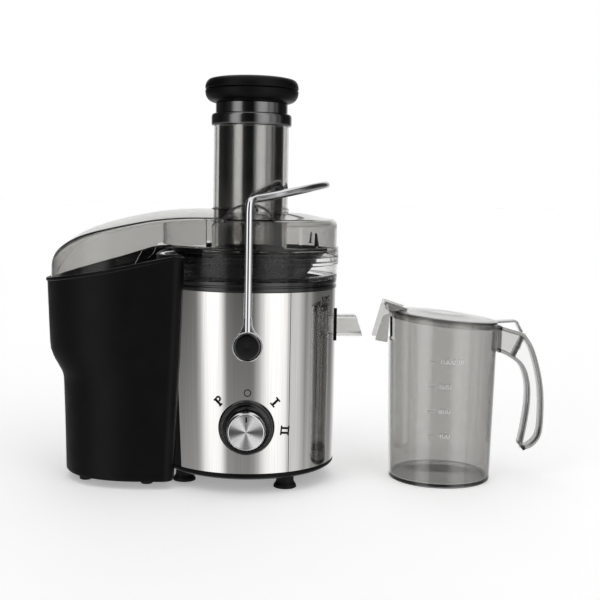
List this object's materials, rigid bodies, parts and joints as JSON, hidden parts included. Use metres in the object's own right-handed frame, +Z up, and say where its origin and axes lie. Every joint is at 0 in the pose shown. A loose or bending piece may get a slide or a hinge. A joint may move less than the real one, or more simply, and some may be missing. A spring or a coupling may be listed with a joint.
{
  "type": "centrifugal juicer",
  "caption": "Centrifugal juicer with a steel-clad motor body, clear lid and duct, feed chute with pusher, locking arm, pulp container and a lidded juice jug.",
  "frame": {"origin": "centre of the whole set's footprint, on the surface it stands on", "axes": "+X from the juicer towards the jug, +Z up, -Y is the front with the speed dial"},
  "size_m": [0.5048, 0.2098, 0.401],
  "materials": {
    "brushed_steel": "vertically brushed",
    "chrome": "polished",
    "black_matte": "fine matt texture",
    "black_gloss": "gloss",
    "rubber": "matt",
    "clear_plastic": "clear, polished",
    "smoke_plastic": "clear smoky grey, polished",
    "inner_plastic": "moulded",
    "laminate": "stacked steel sheet",
    "copper": "enamelled winding",
    "mesh_steel": "perforated steel",
    "white_plastic": "moulded"
  },
  "bodies": {
    "housing": {"steel_sleeve": "brushed_steel", "pivot_pin_front": "brushed_steel", "pivot_pin_rear": "brushed_steel", "bearing_lower": "chrome", "bearing_upper": "chrome", "body_shell": "black_matte", "base_plate": "black_matte", "top_collar": "black_gloss", "dial_bezel": "black_gloss", "foot_1": "rubber", "foot_2": "rubber", "foot_3": "rubber", "foot_4": "rubber", "shaft_seal": "rubber", "cord_gland": "rubber", "motor_mount_left": "rubber", "motor_mount_right": "rubber", "juice_collector": "clear_plastic", "lid": "smoke_plastic", "pulp_duct": "smoke_plastic", "lid_saddle_front": "smoke_plastic", "lid_saddle_rear": "smoke_plastic", "feed_chute": "smoke_plastic", "motor_deck": "inner_plastic", "stator_core": "laminate", "motor_bracket_lower": "laminate", "motor_bracket_upper": "laminate", "field_coil_front": "copper", "field_coil_rear": "copper", "brush_holder_left": "copper", "brush_holder_right": "copper", "switch_body": "white_plastic"},
    "spinner": {"motor_shaft": "chrome", "armature_core": "laminate", "commutator": "copper", "cooling_fan": "inner_plastic", "drive_coupling": "inner_plastic", "basket_hub": "black_matte", "filter_mesh": "mesh_steel", "basket_rim": "black_matte", "grater_disc": "mesh_steel"},
    "arm": {"arm_wire": "chrome", "arm_hub_front": "chrome", "arm_hub_rear": "chrome", "arm_cap_front": "black_gloss", "arm_cap_rear": "black_gloss"},
    "knob": {"dial_knob": "chrome", "dial_spindle": "brushed_steel"},
    "pusher": {"pusher_tube": "black_gloss", "pusher_collar": "black_gloss", "pusher_cap_base": "black_matte", "pusher_cap": "black_matte"},
    "container": {"pulp_container": "black_matte", "container_pad_1": "rubber", "container_pad_2": "rubber", "container_pad_3": "rubber", "container_pad_4": "rubber"},
    "jug": {"jug_body": "smoke_plastic", "jug_handle": "smoke_plastic"},
    "jug_cover": {"jug_lid": "smoke_plastic"}
  },
  "joints": [
    {"name": "basket_spin", "type": "hinge", "parent": "housing", "child": "spinner", "pos_m": [-0.04968, 0.00445, 0.1], "axis": [0, 0, 1], "continuous": true},
    {"name": "arm_swing", "type": "hinge", "parent": "housing", "child": "arm", "pos_m": [-0.04968, 0.00445, 0.144], "axis": [0, 1, 0], "range_deg": [0, 45]},
    {"name": "dial_turn", "type": "hinge", "parent": "housing", "child": "knob", "pos_m": [-0.04968, -0.09055, 0.0655], "axis": [0, 1, 0], "range_deg": [-45, 90]},
    {"name": "pusher_lift", "type": "slide", "parent": "housing", "child": "pusher", "axis": [0, 0, 1], "range_m": [0, 0.15]},
    {"name": "container_slide", "type": "slide", "parent": "housing", "child": "container", "axis": [-1, 0, 0], "range_m": [0, 0.03]},
    {"name": "jug_slide", "type": "slide", "parent": "housing", "child": "jug", "axis": [0.942, -0.3356, 0], "range_m": [-0.0244, 0.08]},
    {"name": "jug_cover_lift", "type": "slide", "parent": "jug", "child": "jug_cover", "axis": [0, 0, 1], "range_m": [0, 0.05]}
  ]
}
